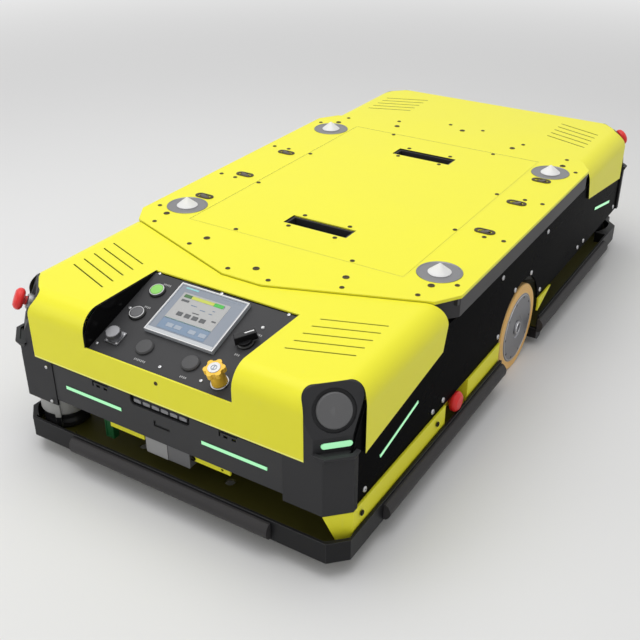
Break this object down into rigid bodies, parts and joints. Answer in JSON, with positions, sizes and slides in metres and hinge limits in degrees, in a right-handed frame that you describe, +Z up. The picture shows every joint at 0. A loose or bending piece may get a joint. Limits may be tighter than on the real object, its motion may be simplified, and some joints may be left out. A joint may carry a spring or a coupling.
{
  "type": "autonomous mobile robot",
  "caption": "Low drive-under transport robot: two side drive wheels, swivel castors, lifting deck with locating cones, safety scanners, bumper edges and a sloping control panel.",
  "frame": {"origin": "on the floor under the middle of the deck", "axes": "+X forward, the end with the control panel; +Y the robot's left; +Z up"},
  "size_m": [1.486, 0.728, 0.345],
  "materials": {
    "yellow_paint": "smooth satin powder coat, lemon yellow",
    "dark_moulding": "fine-grained dark grey moulded plastic",
    "black_gloss": "polished black panel",
    "mint_lens": "diffusing light strip lens",
    "grey_paint": "fine dark grey powder coat",
    "edge_rubber": "soft extruded rubber",
    "cap_grey": "mid grey moulded cap",
    "scanner_grey": "light grey housing over a dark optics belt",
    "seat_grey": "turned steel, grey",
    "cone_white": "white machined plastic",
    "steel": "ground steel",
    "wheel_tan": "cast polyurethane tread, tan",
    "hub_grey": "machined and painted grey",
    "castor_tread": "dark polyurethane tread",
    "zinc": "zinc plated",
    "battery_blue": "painted battery case",
    "aluminium_fins": "anodised aluminium",
    "panel_grey": "fine dark powder coat",
    "screen_frame": "silver moulded frame",
    "screen_glass": "lit display behind a smooth cover",
    "button_green": "green translucent button",
    "button_grey": "grey button",
    "black_knob": "black moulded knob",
    "key_yellow": "amber yellow moulding",
    "socket_grey": "light grey cap on a nickel flange",
    "stop_red": "signal red moulding",
    "collar_steel": "satin collar",
    "motor_dark": "black paint"
  },
  "bodies": {
    "chassis": {"front_cover": "yellow_paint", "rear_cover": "yellow_paint", "front_left_corner": "dark_moulding", "front_right_corner": "dark_moulding", "rear_left_corner": "dark_moulding", "rear_right_corner": "dark_moulding", "corner_caps": "cap_grey", "front_lower_panel": "dark_moulding", "rear_lower_panel": "dark_moulding", "front_sensor_bar": "cap_grey", "left_side_panel": "black_gloss", "right_side_panel": "black_gloss", "lamp_lenses": "mint_lens", "base_tray": "yellow_paint", "front_bumper_rail": "grey_paint", "rear_bumper_rail": "grey_paint", "front_safety_edge": "edge_rubber", "rear_safety_edge": "edge_rubber", "side_safety_edges": "edge_rubber", "main_frame": "yellow_paint", "battery_pack": "battery_blue", "controller_box": "aluminium_fins", "guide_sensor": "cap_grey", "front_scanner": "scanner_grey", "rear_scanner": "scanner_grey", "lift_cylinders": "aluminium_fins", "left_drive_unit": "motor_dark", "right_drive_unit": "motor_dark", "panel_recess": "black_gloss", "control_plate": "panel_grey", "touch_panel_housing": "screen_frame", "touch_panel_screen": "screen_glass", "charge_socket": "socket_grey", "screw_caps": "button_grey", "switch_bodies": "collar_steel"},
    "deck": {"deck_plate": "yellow_paint", "deck_frame": "grey_paint", "cone_seats": "seat_grey", "locating_cones": "cone_white", "lift_rods": "steel"},
    "left_wheel": {"left_tyre": "wheel_tan", "left_hub": "hub_grey"},
    "right_wheel": {"right_tyre": "wheel_tan", "right_hub": "hub_grey"},
    "front_left_castor_fork": {"front_left_castor_fork": "zinc"},
    "front_left_castor_wheel": {"front_left_castor_wheel": "castor_tread"},
    "front_right_castor_fork": {"front_right_castor_fork": "zinc"},
    "front_right_castor_wheel": {"front_right_castor_wheel": "castor_tread"},
    "rear_left_castor_fork": {"rear_left_castor_fork": "zinc"},
    "rear_left_castor_wheel": {"rear_left_castor_wheel": "castor_tread"},
    "rear_right_castor_fork": {"rear_right_castor_fork": "zinc"},
    "rear_right_castor_wheel": {"rear_right_castor_wheel": "castor_tread"},
    "start_button": {"start_button": "button_green"},
    "stop_button": {"stop_button": "button_grey"},
    "selector_switch": {"selector_switch": "black_knob"},
    "access_key": {"access_key": "key_yellow"},
    "front_estop_button": {"front_estop_button": "stop_red"},
    "rear_estop_button": {"rear_estop_button": "stop_red"},
    "left_estop_button": {"left_estop_button": "stop_red"},
    "right_estop_button": {"right_estop_button": "stop_red"}
  },
  "joints": [
    {"name": "deck_lift", "type": "slide", "parent": "chassis", "child": "deck", "axis": [0, 0, 1], "range_m": [0, 0.05]},
    {"name": "left_wheel_spin", "type": "hinge", "parent": "chassis", "child": "left_wheel", "pos_m": [0, 0.314, 0.0932], "axis": [0, 1, 0], "continuous": true},
    {"name": "right_wheel_spin", "type": "hinge", "parent": "chassis", "child": "right_wheel", "pos_m": [0, -0.314, 0.0932], "axis": [0, 1, 0], "continuous": true},
    {"name": "front_left_castor_swivel", "type": "hinge", "parent": "chassis", "child": "front_left_castor_fork", "pos_m": [0.52, 0.2, 0.115], "axis": [0, 0, 1], "continuous": true},
    {"name": "front_left_castor_roll", "type": "hinge", "parent": "front_left_castor_fork", "child": "front_left_castor_wheel", "pos_m": [0.49, 0.2, 0.05], "axis": [0, 1, 0], "continuous": true},
    {"name": "front_right_castor_swivel", "type": "hinge", "parent": "chassis", "child": "front_right_castor_fork", "pos_m": [0.52, -0.2, 0.115], "axis": [0, 0, 1], "continuous": true},
    {"name": "front_right_castor_roll", "type": "hinge", "parent": "front_right_castor_fork", "child": "front_right_castor_wheel", "pos_m": [0.49, -0.2, 0.05], "axis": [0, 1, 0], "continuous": true},
    {"name": "rear_left_castor_swivel", "type": "hinge", "parent": "chassis", "child": "rear_left_castor_fork", "pos_m": [-0.52, 0.2, 0.115], "axis": [0, 0, 1], "continuous": true},
    {"name": "rear_left_castor_roll", "type": "hinge", "parent": "rear_left_castor_fork", "child": "rear_left_castor_wheel", "pos_m": [-0.55, 0.2, 0.05], "axis": [0, 1, 0], "continuous": true},
    {"name": "rear_right_castor_swivel", "type": "hinge", "parent": "chassis", "child": "rear_right_castor_fork", "pos_m": [-0.52, -0.2, 0.115], "axis": [0, 0, 1], "continuous": true},
    {"name": "rear_right_castor_roll", "type": "hinge", "parent": "rear_right_castor_fork", "child": "rear_right_castor_wheel", "pos_m": [-0.55, -0.2, 0.05], "axis": [0, 1, 0], "continuous": true},
    {"name": "start_button_press", "type": "slide", "parent": "chassis", "child": "start_button", "axis": [-0.3305, 0, -0.9438], "range_m": [0, 0.0025], "stiffness_N_per_m": 1000, "springref_m": -0.001},
    {"name": "stop_button_press", "type": "slide", "parent": "chassis", "child": "stop_button", "axis": [-0.3305, 0, -0.9438], "range_m": [0, 0.0025], "stiffness_N_per_m": 1000, "springref_m": -0.001},
    {"name": "selector_turn", "type": "hinge", "parent": "chassis", "child": "selector_switch", "pos_m": [0.60873, 0.098, 0.29836], "axis": [0.3305, 0, 0.9438], "range_deg": [0, 90]},
    {"name": "access_key_turn", "type": "hinge", "parent": "chassis", "child": "access_key", "pos_m": [0.68872, 0.1053, 0.26928], "axis": [0.3305, 0, 0.9438], "range_deg": [0, 60]},
    {"name": "front_estop_press", "type": "slide", "parent": "chassis", "child": "front_estop_button", "axis": [-0.645, 0.645, -0.4099], "range_m": [0, 0.004]},
    {"name": "rear_estop_press", "type": "slide", "parent": "chassis", "child": "rear_estop_button", "axis": [0.645, -0.645, -0.4099], "range_m": [0, 0.004]},
    {"name": "left_estop_press", "type": "slide", "parent": "chassis", "child": "left_estop_button", "axis": [0, -1, 0], "range_m": [0, 0.004]},
    {"name": "right_estop_press", "type": "slide", "parent": "chassis", "child": "right_estop_button", "axis": [0, 1, 0], "range_m": [0, 0.004]}
  ]
}
